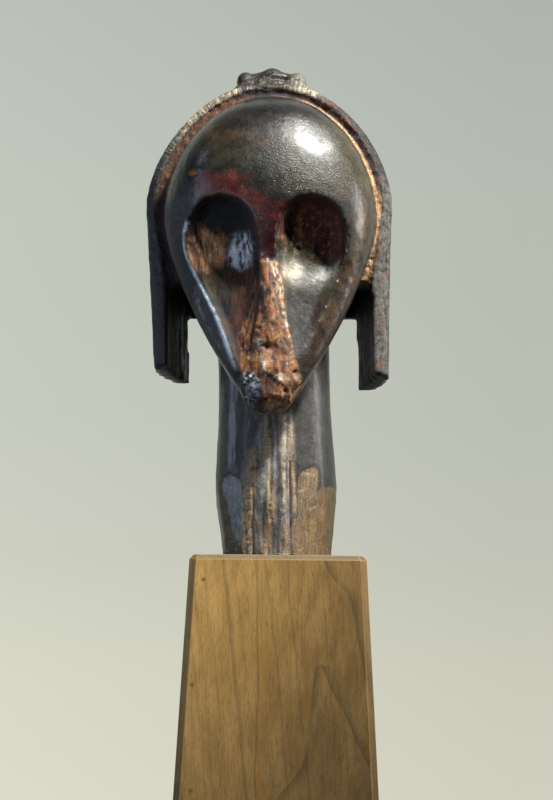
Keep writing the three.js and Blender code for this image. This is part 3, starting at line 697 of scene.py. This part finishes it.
def neck_strip(s):
    """The weathered strip down the neck's front, with its pale fibres, cracks and small holes."""
    low = s.facing * (1 - ramp(s.z, 122, 145)) * ramp(-s.y, 8, 20)
    # Near the top the strip's left edge follows the chin's shadow, and left of it the neck keeps its painted
    # shade.
    left = np.interp(s.z, [0, 60, 75, 135], [-31, -30, -31, -10])
    right = np.interp(s.z, [0, 60, 135], [18, 19, 17])
    strip = ramp(s.x - left, -3, 4) * ramp(right - s.x, -3, 4) * low
    fibres = ripple(s.own, 5, 4, (1, 1, 16), 9)
    s.relief += strip * (1.3 * fibres - 0.5)
    s.lay(ASH, strip)
    s.lay(SLATE, strip * ramp(-fibres, -0.1, 0.2) * 0.5)
    s.lay(TAWNY, strip * ramp(fibres, 0.0, 0.3) * ramp(90 - s.z, 0, 40) * 0.6)
    s.lay(TAWNY, strip * s.blot(-7, 22, 6, 26) * 0.6)
    s.lay(FAWN, strip * ramp(fibres, 0.2, 0.45) * 0.3)
    s.lay(PATINA, strip * ramp(-fibres, 0.25, 0.5) * 0.45)
    s.dull(strip * 0.7)

    for path, colour, width in (
        ([(-6.3, 124), (-6.3, 100), (-6.3, 53)], FAWN, 2.2),
        ([(14.5, 121), (14.2, 54)], FAWN, 1.4),
        ([(15.0, 90), (19.0, 60), (20.0, 30)], FAWN, 1.6),
        ([(9.2, 129), (9.2, 46)], STRAW, 1.4),
        ([(-26, 66), (-25.5, 2)], FAWN, 6.0),
        ([(-8, 10), (-8, 0)], FAWN, 2.6),
        ([(11, 30), (12, 0)], TAWNY, 3.5),
        ([(-18, 95), (-22, 72)], TAWNY, 6.0),
    ):
        near = bell(s.beside(path), width) * low
        s.lay(colour, near * ramp(s.crumb + 0.6 * fibres, -0.8, 0.1) * 0.85)
        s.dull(near * 0.8)
    s.lay(FAWN, low * bell(s.beside([(-26, 58), (-26, 2)]), 5) * ramp(s.crumb, -0.4, 0.2) * 0.7)
    s.lay(OCHRE, low * bell(s.beside([(-27, 60), (-26.5, 2)]), 4) * ramp(s.crumb, 0.1, 0.4) * 0.4)
    s.ridge([(9.2, 129), (9.2, 40)], 1.5, 2.2, low * (0.6 + 0.6 * s.crumb))
    s.ridge([(-14, 80), (-14, 0)], 1.0, 3.0, low)
    s.relief += s.crumb * low * bell(s.beside([(-26, 60), (-25.5, 2)]), 4.5)
    for path, depth, width in (
        ([(-20.5, 66), (-19.4, 48), (-21.2, 30), (-19.8, 12), (-20.5, 0)], 1.4, 0.9),
        ([(14.6, 88), (15.4, 60), (16, 30), (17, -5)], 3.0, 0.65),
        ([(-2.8, 125), (-3.0, 50)], 1.2, 1.2),
        ([(3, 125), (2.5, 60), (3.5, 0)], 0.8, 2.0),
    ):
        s.groove(path, depth, width, low)
        s.lay(CHESTNUT, bell(s.beside(path), width) * low * min(depth / 2.5, 1))
    for x, z, width in [(-4, 46, 1.4), (8.5, 44, 1.6), (-21.5, 80.5, 2.2), (-17.5, 81.5, 1.8)]:
        s.pit(x, z, width, 1.4, low * 0.8)


def foot_cuts(s):
    """The flat cuts at the neck's foot: a blue-grey scoop on the left, bare wood on the right, scratches."""
    scoop_outline = [
        (-51.5, 64), (-50.5, 69), (-49, 72.5), (-45, 74.5), (-39, 73.5), (-34, 70.5), (-32.3, 66),
        (-31.6, 53), (-31.2, 38), (-31.2, 14.5), (-37.8, 14.5), (-42.2, 29), (-45.1, 44), (-49.6, 57),
    ]
    scoop = s.within(scoop_outline) * s.facing
    s.relief -= scoop
    s.lay(SLATE, scoop)
    # A little painted sheen on the scoop.
    s.lay(PAINTED_GLINT, scoop * 0.15)
    s.lay(PATINA, scoop * ramp(s.broken, 0.2, 0.6) * 0.3)
    s.lay(STRAW, bell(s.beside(scoop_outline + scoop_outline[:1]), 0.9) * s.facing * ramp(s.z, 20, 40) * 0.4)
    s.dull(scoop * 0.5)
    beside_scoop = s.within(
        [(-60, 58), (-50, 57), (-45.1, 44), (-42.2, 29), (-37.8, 14.5), (-31, 14.5), (-31, 0), (-60, 0)], 1.5
    ) * s.facing
    s.lay(OLIVE, beside_scoop)
    s.lay(TAWNY, beside_scoop * (0.12 + 0.25 * ramp(s.broken, -0.1, 0.4)) * ramp(s.z, 12, 20))
    # Painted glints: bluish specks at the foot beside the scoop.
    s.lay(SLATE, beside_scoop * ramp(14 - s.z, 0, 3) * ramp(s.crumb, 0.0, 0.4) * 0.8)

    bare = s.within([
        (22.8, 73), (25, 78), (28.7, 81), (33, 83), (37.6, 84), (40, 80), (40.8, 76), (40.8, 67), (39.5, 61),
        (37.6, 55.6), (34.5, 48), (31.7, 41), (29, 32), (27.2, 23), (24.5, 12), (22, -3), (17, -3), (17, 28),
        (19, 34), (22.8, 38), (22.1, 50),
    ], 1.3) * s.facing
    s.relief -= 0.8 * bare
    s.lay(TAWNY, bare * 0.62)
    s.dull(bare * 0.6)
    foot = s.within([
        (39.5, 60), (46, 64), (52, 64), (60, 58), (60, -3), (22, -3), (24.5, 12), (27.2, 23), (29, 32),
        (31.7, 41), (34.5, 48), (37.6, 55.6),
    ], 2.5) * s.facing
    s.lay(TAWNY, foot * 0.5)
    s.lay(OCHRE, foot * (0.20 + 0.2 * ramp(s.broken, -0.2, 0.4)))
    s.lay(OLIVE, foot * (0.35 + 0.4 * ramp(s.x, 36, 52)))
    s.lay(RUST, foot * bell(s.beside([(45.5, 60), (44, 0)]), 1.2) * 0.4)
    s.dull(foot * 0.55)
    for path in (
        [(32, 43), (49, 50)], [(23, 60), (38, 65)], [(8, 36), (20, 43)],
        [(-8, 34), (6, 32)], [(23, 4), (38, 11)], [(26, 78), (39, 76)],
    ):
        scratch = bell(s.beside(path), 0.8) * s.facing * ramp(s.broken, -0.5, 0.1)
        s.lay(STRAW, scratch * 0.6)
        s.relief -= scratch * 0.3


def lappets(s):
    """The coiffure's lower parts beside the neck: black in their shade, with a painted sheen streaked on
    their inner faces.
    """
    side = np.sign(s.x - s.middle)
    at_side = ramp(np.abs(s.x - s.middle), 72, 80)
    below = at_side * (1 - ramp(s.z, ARCH_SILL - 2, ARCH_SILL + 3)) * ramp(s.y, -7, -4)
    inner = below * ramp(-side * s.out[:, 0], 0.4, 0.8)
    streaks = ripple(s.own, 4, 3, (1, 1, 9), 81)
    s.relief += inner * 0.5 * streaks
    shaded = below * ramp(-side * s.out[:, 0], -0.3, 0.2)
    s.lay(SOOT_AND_SHADE, shaded)
    # Painted sheen: pale blue streaks on the inner faces, mostly on the left.
    painted_sheen_streaks = ramp(streaks, -0.2, 0.3) * ramp(s.y, 14, 24) * (1 - ramp(s.z, 225, 250))
    s.lay(PAINTED_GLINT, inner * painted_sheen_streaks * np.where(side < 0, 1.0, 0.15))
    s.dull(shaded * 0.7)
    s.polish(inner * painted_sheen_streaks * np.where(side < 0, 0.9, 0.0))
    s.relief += at_side * 0.3 * ripple(s.own, 8, 3, shift=91)


def carved_head(node):
    """The carving with its relief, and with its stains, wear and painted light and shade as attributes of its
    points.
    """
    piece = even_skin(node)
    smooth_skin(piece)
    skin = Skin(piece.data)
    for part_of_it in (
        dome, recess, rim, crest, left_hollow, right_hollow, left_cheek, nose_and_mouth, neck_column,
        neck_strip, foot_cuts, lappets,
    ):
        part_of_it(skin)
    skin.carve(*(np.array(corner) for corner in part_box("reliquary_head")))
    for name in ("stain_and_painted_light", "dry", "shine", "specks", "crazed", "hatching", "across_rim"):
        skin.keep(name, getattr(skin, name))
    for polygon in piece.data.polygons:
        polygon.use_smooth = True
    return piece


def dressed_plinth(node):
    """The plinth with its arrises eased and laid pale, partly as rubbed wood and partly as painted highlight.
    """
    bm = bmesh.new()
    bm.from_mesh(node.data)
    bmesh.ops.remove_doubles(bm, verts=bm.verts, dist=MERGE_REACH)
    bmesh.ops.dissolve_limit(bm, angle_limit=math.radians(1), verts=bm.verts, edges=bm.edges)
    worn_and_highlit_arris = bm.faces.layers.float.new("worn_and_highlit_arris")
    painted_shade = bm.faces.layers.float.new("painted_shade")
    eased = bmesh.ops.bevel(
        bm, geom=bm.edges, offset=0.7 * MM, offset_type="OFFSET", segments=3, profile=0.5, affect="EDGES",
        material=-1,
    )
    bm.normal_update()
    # Painted shade: the upper side is laid darker, and the two cut-off corners beside the front a little.
    for face in bm.faces:
        corner = face.normal.y < -0.3 and abs(face.normal.x) > 0.3
        face[painted_shade] = 1.0 if face.normal.z > 0.3 else 0.4 if corner else 0.0
    for face in eased["faces"]:
        face[worn_and_highlit_arris] = 1.0
    return add_mesh("walnut_plinth", bm)


# Materials.

class Nodes:
    """The node tree of a material or world, with short calls for the nodes used here."""

    def __init__(self, owner, place="Object"):
        owner.use_nodes = True
        self.owner = owner
        self.tree = owner.node_tree
        self.shader = self.tree.nodes.get("Principled BSDF")
        self.place = self.tree.nodes.new("ShaderNodeTexCoord").outputs[place]

    def link(self, source, target):
        """Links a socket to another, or sets a plain value on it."""
        if isinstance(source, bpy.types.NodeSocket):
            self.tree.links.new(source, target)
        else:
            target.default_value = source

    def feed(self, node, **inputs):
        """Links or sets a node's inputs by their names, with _ for a space."""
        for name, value in inputs.items():
            self.link(value, node.inputs[name.replace("_", " ")])

    def node(self, kind, settings=(), **inputs):
        made = self.tree.nodes.new(kind)
        for name, value in dict(settings).items():
            setattr(made, name, value)
        self.feed(made, **inputs)
        return made

    def attribute(self, name, output="Fac"):
        return self.node("ShaderNodeAttribute", {"attribute_name": name}).outputs[output]

    def noise(self, scale, detail=4.0, roughness=0.55, stretch=(1, 1, 1), place=None):
        where = self.node("ShaderNodeMapping", Vector=place or self.place, Scale=stretch).outputs[0]
        made = self.node("ShaderNodeTexNoise", Vector=where, Scale=scale, Detail=detail, Roughness=roughness)
        return made.outputs["Fac"]

    def remap(self, value, low, high, new_low=0.0, new_high=1.0, way="SMOOTHSTEP"):
        made = self.node("ShaderNodeMapRange", {"interpolation_type": way}, Value=value)
        self.feed(made, From_Min=low, From_Max=high, To_Min=new_low, To_Max=new_high)
        return made.outputs[0]

    def math(self, operation, first, second=0.0):
        made = self.tree.nodes.new("ShaderNodeMath")
        made.operation = operation
        self.link(first, made.inputs[0])
        self.link(second, made.inputs[1])
        return made.outputs[0]

    def plus(self, first, second):
        return self.math("ADD", first, second)

    def minus(self, first, second):
        return self.math("SUBTRACT", first, second)

    def times(self, first, second):
        return self.math("MULTIPLY", first, second)

    def curve(self, height, pairs):
        """A smooth line's place aside, in metres, from (height, aside) pairs in millimetres."""
        tallest, widest = 330, 100
        made = self.tree.nodes.new("ShaderNodeFloatCurve")
        self.link(self.times(height, 1 / (tallest * MM)), made.inputs["Value"])
        course = made.mapping.curves[0]
        spots = sorted((high / tallest, (aside + widest) / (2 * widest)) for high, aside in pairs)
        spots = [(0.0, spots[0][1])] * (spots[0][0] > 0) + spots + [(1.0, spots[-1][1])]
        while len(course.points) < len(spots):
            course.points.new(0.5, 0.5)
        for point, spot in zip(course.points, spots):
            point.location = spot
        made.mapping.update()
        spread = self.times(made.outputs[0], 2 * widest * MM)
        return self.minus(spread, widest * MM)

    def between(self, factor, first, second):
        made = self.node("ShaderNodeMix", Factor=factor, A=first, B=second)
        return made.outputs[0]

    def blend(self, factor, first, second, way="MIX"):
        made = self.tree.nodes.new("ShaderNodeMix")
        made.data_type = "RGBA"
        made.blend_type = way
        self.link(factor, made.inputs[0])
        for value, slot in ((first, made.inputs[6]), (second, made.inputs[7])):
            self.link(value if isinstance(value, bpy.types.NodeSocket) else (*value, 1), slot)
        return made.outputs[2]

    def surface(self, colour, roughness, height):
        """Links colour, roughness and a height in millimetres to the shader."""
        bump = self.node("ShaderNodeBump", Height=height, Distance=MM, Strength=1.0)
        self.feed(self.shader, Base_Color=colour, Roughness=roughness, Normal=bump.outputs[0])


def old_wood():
    """Dark patina with fine crackle where it is whole, and fibrous matt wood where it is dry."""
    n = Nodes(bpy.data.materials.new("old_wood"))
    stain_and_painted_light = n.attribute("stain_and_painted_light", "Color")
    dry = n.attribute("dry")
    hatching = n.attribute("hatching")
    polished = n.minus(1.0, dry)
    mottle = n.noise(90, 5)
    fine = n.noise(650, 6, 0.65)
    fibres = n.noise(420, 5, 0.6, (1, 1, 0.12))
    strokes = n.remap(n.noise(0.55, 3, 0.6, place=n.attribute("across_rim", "Vector")), 0.35, 0.65)
    patina_tone = n.remap(n.plus(mottle, fine), 0.75, 1.3, 0.45, 1.7)
    fibre_tone = n.remap(n.plus(fibres, fine), 0.75, 1.25, 0.40, 1.70)
    colour = n.blend(1.0, stain_and_painted_light, n.between(dry, patina_tone, fibre_tone), "MULTIPLY")
    stroke_tone = n.between(hatching, 1.0, n.remap(strokes, 0, 1, 0.5, 1.5))
    colour = n.blend(1.0, colour, stroke_tone, "MULTIPLY")
    spots = n.times(n.remap(n.noise(520, 2), 0.60, 0.68), n.attribute("specks"))
    colour = n.blend(n.times(spots, 0.6), colour, TAWNY)

    crazed = n.times(n.attribute("crazed"), polished)
    gloss = n.remap(n.noise(240, 5, 0.6), 0.35, 0.7, 0.38, 0.60)
    gloss = n.between(n.attribute("shine"), gloss, 0.22)
    roughness = n.between(dry, gloss, 0.78)

    wrinkles = n.noise(760, 4, 0.6, (0.55, 1, 1))
    parts = (
        (n.times(wrinkles, crazed), 0.55),
        (n.times(n.noise(260, 4, 0.6), polished), 0.30),
        (n.times(fibres, dry), 0.7),
        (n.times(fine, dry), 0.5),
        (n.noise(120, 3), 0.35),
        (n.times(strokes, hatching), 0.35),
    )
    height = 0.0
    for part, size in parts:
        height = n.plus(n.times(part, size), height)
    n.surface(colour, roughness, height)
    coat = n.remap(dry, 0.0, 0.5, 0.45, 0.0)
    n.feed(n.shader, Coat_Weight=coat, Coat_Roughness=0.22, Specular_IOR_Level=0.6)
    return n.owner


PALE_WALNUT = (0.410, 0.240, 0.070)
MID_WALNUT = (0.275, 0.155, 0.037)
DARK_WALNUT = (0.095, 0.062, 0.020)
ORANGE_WALNUT = (0.340, 0.165, 0.022)
FILLED_NAILS = [(-69, 297), (-78.5, 200.5), (-78.5, 104.5), (84, 114)]  # aside and height, millimetres
AMBER_STREAK = -15.5 * MM  # how far aside the warm streak down the front runs
DARK_STREAK = -19.5 * MM  # and the thin dark one beside it
FRONT_FROM = -70 * MM  # the front's own figure starts to show before this
FRONT_FULL = -75 * MM  # and is full before this

# The cathedral grain of the front: where each dark line runs, as (height, aside) in millimetres.
GRAIN_LINES = (
    (
        (320, 41), (311, 45), (302, 50), (293, 58), (284, 67), (266, 71.5), (248, 74), (230, 78.5), (206, 84),
        (120, 97),
    ),
    ((220, 40), (217, 43), (208, 46.5), (190, 55), (176, 62.5), (154, 71.5), (129, 85), (118, 90)),
    ((220, 40), (217, 36.5), (205, 35.5), (174, 33.5), (134, 27), (116, 18), (95, 0), (60, -10), (0, -16)),
)
GRAIN_LINE_TOPS = (330, 221, 221)  # how high each of them is seen


def walnut():
    """Oiled walnut: plain grain all round; on the front dark figure, an amber streak and filled nails."""
    n = Nodes(bpy.data.materials.new("walnut"))
    x, y, z = n.node("ShaderNodeSeparateXYZ", Vector=n.place).outputs
    waver = n.times(n.minus(n.noise(28, 3, 0.5, (1, 1, 0.4)), 0.5), 0.010)
    aside = n.plus(x, waver)
    streaks = n.noise(420, 5, 0.65, (1, 1, 0.035))
    hair = n.noise(900, 4, 0.7, (1, 1, 0.05))
    pores = n.remap(n.noise(1500, 2, 0.5, (1, 1, 0.10)), 0.58, 0.68)
    clouds = n.noise(14, 3, 0.5, (1, 1, 0.6))
    flame = n.noise(70, 4, 0.6, (1, 1, 0.3))

    left = n.remap(n.plus(x, n.times(clouds, 0.05)), 0.0, 0.05, 1.0, 0.0)
    front = n.remap(y, FRONT_FULL, FRONT_FROM, 1.0, 0.0)
    colour = n.blend(n.remap(flame, 0.35, 0.65), PALE_WALNUT, MID_WALNUT)
    colour = n.blend(n.times(left, 0.35), colour, PALE_WALNUT)
    colour = n.blend(n.times(n.remap(clouds, 0.5, 0.62), 0.35), colour, MID_WALNUT)
    for line, top in zip(GRAIN_LINES, GRAIN_LINE_TOPS):
        off = n.minus(aside, n.curve(z, line))
        core = n.remap(n.math("ABSOLUTE", off), 0.3 * MM, 2.4 * MM, 0.60, 0.0)
        skirt = n.times(n.remap(off, 0.0, 12 * MM, 0.40, 0.0), n.remap(off, -MM, 0.0, 0.0, 1.0))
        seen = n.times(n.remap(z, (top - 4) * MM, top * MM, 1.0, 0.0), front)
        seen = n.times(seen, n.remap(n.noise(30, 2), 0.35, 0.55, 0.45, 1.0))
        colour = n.blend(n.times(n.math("MAXIMUM", core, skirt), seen), colour, DARK_WALNUT)
    plain = n.node("ShaderNodeTexNoise", {"noise_dimensions": "1D"}, Scale=160, Detail=3, Roughness=0.6)
    n.link(n.plus(n.plus(aside, y), n.times(z, 0.05)), plain.inputs["W"])
    colour = n.blend(n.remap(plain.outputs[0], 0.5, 0.75, 0.0, 0.35), colour, DARK_WALNUT)
    colour = n.blend(n.times(n.remap(streaks, 0.45, 0.7), 0.30), colour, DARK_WALNUT)
    colour = n.blend(n.times(n.remap(hair, 0.5, 0.7), 0.50), colour, DARK_WALNUT)
    colour = n.blend(n.times(pores, 0.40), colour, DARK_WALNUT)
    off_amber = n.math("ABSOLUTE", n.minus(aside, AMBER_STREAK))
    amber = n.times(n.remap(off_amber, MM, 4.5 * MM, 0.55, 0.0), front)
    amber = n.times(amber, n.remap(hair, 0.35, 0.6, 0.3, 1.0))
    amber = n.times(amber, n.remap(z, 220 * MM, 280 * MM, 1.0, 0.3))
    colour = n.blend(amber, colour, ORANGE_WALNUT)
    off_dark = n.math("ABSOLUTE", n.minus(aside, DARK_STREAK))
    colour = n.blend(n.times(n.remap(off_dark, 0.0, 1.5 * MM, 0.5, 0.0), front), colour, DARK_WALNUT)
    # Painted shade: the wood is laid darker to the right and towards the foot, as the light falls off.
    shade_aside = n.remap(x, -90 * MM, 90 * MM, 1.22, 0.62)
    shade_down = n.remap(z, 80 * MM, 300 * MM, 0.66, 1.16)
    colour = n.blend(1.0, colour, n.times(shade_aside, shade_down), "MULTIPLY")
    for spot_aside, high in FILLED_NAILS:
        spot = n.node("ShaderNodeVectorMath", {"operation": "DISTANCE"})
        flat = n.node("ShaderNodeCombineXYZ", X=x, Z=z)
        n.link(flat.outputs[0], spot.inputs[0])
        spot.inputs[1].default_value = (spot_aside * MM, 0, high * MM)
        near = n.remap(spot.outputs["Value"], MM, 3 * MM, 0.75, 0.0)
        colour = n.blend(n.times(near, front), colour, DARK_WALNUT)
    # Painted shade on the upper side and the front corners.
    colour = n.blend(n.times(n.attribute("painted_shade"), 0.80), colour, DARK_WALNUT)
    # Pale arrises: partly rubbed wood, partly painted highlight.
    colour = n.blend(n.times(n.attribute("worn_and_highlit_arris"), 0.35), colour, PALE_WALNUT)

    roughness = n.remap(streaks, 0.35, 0.7, 0.46, 0.60)
    height = n.plus(n.times(pores, -0.10), n.times(streaks, 0.08))
    n.surface(colour, roughness, height)
    return n.owner


# The two pieces.

carving = carved_head(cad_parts["reliquary_head"])
carving.data.materials.clear()
carving.data.materials.append(old_wood())
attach(carving, "root")
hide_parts("reliquary_head")

plinth = dressed_plinth(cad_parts["pedestal"])
plinth.data.materials.append(walnut())
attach(plinth, "root")
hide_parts("pedestal")


# The studio.

CAMERA_DISTANCE = 2.4
CAMERA_HEIGHT = 0.322
CAMERA_AZIMUTH = math.radians(-1.5)
CAMERA_TILT = math.radians(3.50)
CAMERA_ROLL = math.radians(0.6)
FOCAL_PIXELS = 2502
PICTURE_HEIGHT = 800
SENSOR = 36.0
AXIS_OFF_CENTRE = 1.2  # pixels
HEAD_MIDDLE = Vector((0, 0, 0.62))  # what the lamps look at
FLOOR_RADIUS = 0.85
FLOOR_DROP = 0.5 * MM


def make_camera():
    data = bpy.data.cameras.new("camera")
    data.sensor_width = SENSOR
    data.lens = SENSOR * FOCAL_PIXELS / PICTURE_HEIGHT
    data.shift_x = -AXIS_OFF_CENTRE / PICTURE_HEIGHT
    camera = add("camera", data)
    ahead = Vector((-math.sin(CAMERA_AZIMUTH), math.cos(CAMERA_AZIMUTH), 0))
    place = Vector((0, 0, CAMERA_HEIGHT)) - ahead * CAMERA_DISTANCE
    turn = Matrix.Rotation(CAMERA_AZIMUTH, 4, "Z") @ Matrix.Rotation(math.pi / 2 + CAMERA_TILT, 4, "X")
    camera.matrix_world = Matrix.Translation(place) @ turn @ Matrix.Rotation(CAMERA_ROLL, 4, "Z")
    bpy.context.scene.camera = camera


def softbox(name, azimuth, elevation, distance, size, power, colour):
    """A rectangular lamp that looks at the head. Its azimuth runs from the front to the right."""
    data = bpy.data.lights.new(name, "AREA")
    data.shape = "RECTANGLE"
    data.size, data.size_y = size
    data.energy = power
    data.color = colour
    a, e = math.radians(azimuth), math.radians(elevation)
    way = Vector((math.sin(a) * math.cos(e), -math.cos(a) * math.cos(e), math.sin(e)))
    lamp = add(name, data)
    lamp.rotation_mode = "QUATERNION"
    lamp.rotation_quaternion = way.to_track_quat("Z", "Y")
    lamp.location = HEAD_MIDDLE + way * distance


def make_floor():
    """A pale round floor, which is seen and takes shadows but throws no light up at the carving."""
    bm = bmesh.new()
    bmesh.ops.create_circle(bm, cap_ends=True, segments=96, radius=FLOOR_RADIUS)
    floor = add_mesh("floor", bm)
    floor.location.z = -FLOOR_DROP
    n = Nodes(bpy.data.materials.new("floor"))
    n.feed(n.shader, Base_Color=(0.44, 0.43, 0.37, 1), Roughness=0.9)
    floor.data.materials.append(n.owner)
    floor.visible_diffuse = False
    floor.visible_glossy = False


# The backdrop's colours, linear, by the sine of the camera ray's angle above the horizon.
BACKDROP = [
    (-0.10, (0.730, 0.716, 0.607)),
    (-0.05, (0.690, 0.690, 0.577)),
    (0.00, (0.610, 0.630, 0.535)),
    (0.07, (0.565, 0.590, 0.520)),
    (0.14, (0.540, 0.580, 0.505)),
    (0.22, (0.495, 0.533, 0.485)),
]
BACKDROP_SIDES = (-0.09, 0.12)  # it darkens from left to right between these sines
BACKDROP_RIGHT = 0.87  # down to this share
ROOM = (0.024, 0.025, 0.030)
ROOM_TO_BACKDROP = (0.35, 0.80)  # and what the carving mirrors turns from one into the other here


def make_world():
    """The camera sees the backdrop. The carving mirrors a dark room, with the backdrop only behind it."""
    n = Nodes(bpy.data.worlds.new("studio"), "Generated")
    x, y, z = n.node("ShaderNodeSeparateXYZ", Vector=n.place).outputs
    low, high = BACKDROP[0][0], BACKDROP[-1][0]
    sweep = n.node("ShaderNodeValToRGB", Fac=n.remap(z, low, high, way="LINEAR"))
    stops = sweep.color_ramp.elements
    while len(stops) < len(BACKDROP):
        stops.new(0.5)
    for stop, (height, colour) in zip(stops, BACKDROP):
        stop.position = (height - low) / (high - low)
        stop.color = (*colour, 1)
    darkened = n.remap(x, *BACKDROP_SIDES, 1.0, BACKDROP_RIGHT, way="LINEAR")
    seen = n.node("ShaderNodeBackground", Color=sweep.outputs[0], Strength=darkened)

    mirrored = n.blend(n.remap(y, *ROOM_TO_BACKDROP, way="LINEAR"), ROOM, BACKDROP[3][1])
    around = n.node("ShaderNodeBackground", Color=mirrored)
    mix = n.node("ShaderNodeMixShader")
    by_camera = n.node("ShaderNodeLightPath").outputs["Is Camera Ray"]
    for source, target in zip((by_camera, around.outputs[0], seen.outputs[0]), mix.inputs):
        n.link(source, target)
    n.link(mix.outputs[0], n.tree.nodes["World Output"].inputs[0])
    bpy.context.scene.world = n.owner


make_camera()
make_floor()
make_world()

# The main light, high on the right, and a wider and weaker one beside it.
softbox("key", 42, 53, 1.8, (0.30, 0.10), 74, (1.0, 0.99, 0.94))
softbox("brow", 64, 50, 1.8, (0.50, 0.10), 15, (1.0, 1.0, 0.96))

# Low lights: white from the right, and bluish from the left for the neck, the crease and the chin.
softbox("right", 91, 8, 1.5, (0.38, 0.7), 8.5, (1.0, 0.98, 0.94))
softbox("left", -94, 0, 1.5, (0.40, 0.25), 2.4, (0.66, 0.80, 1.0))
softbox("line", -60, 4, 1.5, (0.05, 0.8), 1.6, (0.72, 0.82, 1.0))
softbox("low left", -34, -14, 1.5, (0.16, 0.24), 3.2, (0.80, 0.88, 1.0))

bpy.context.scene.view_settings.view_transform = "Standard"
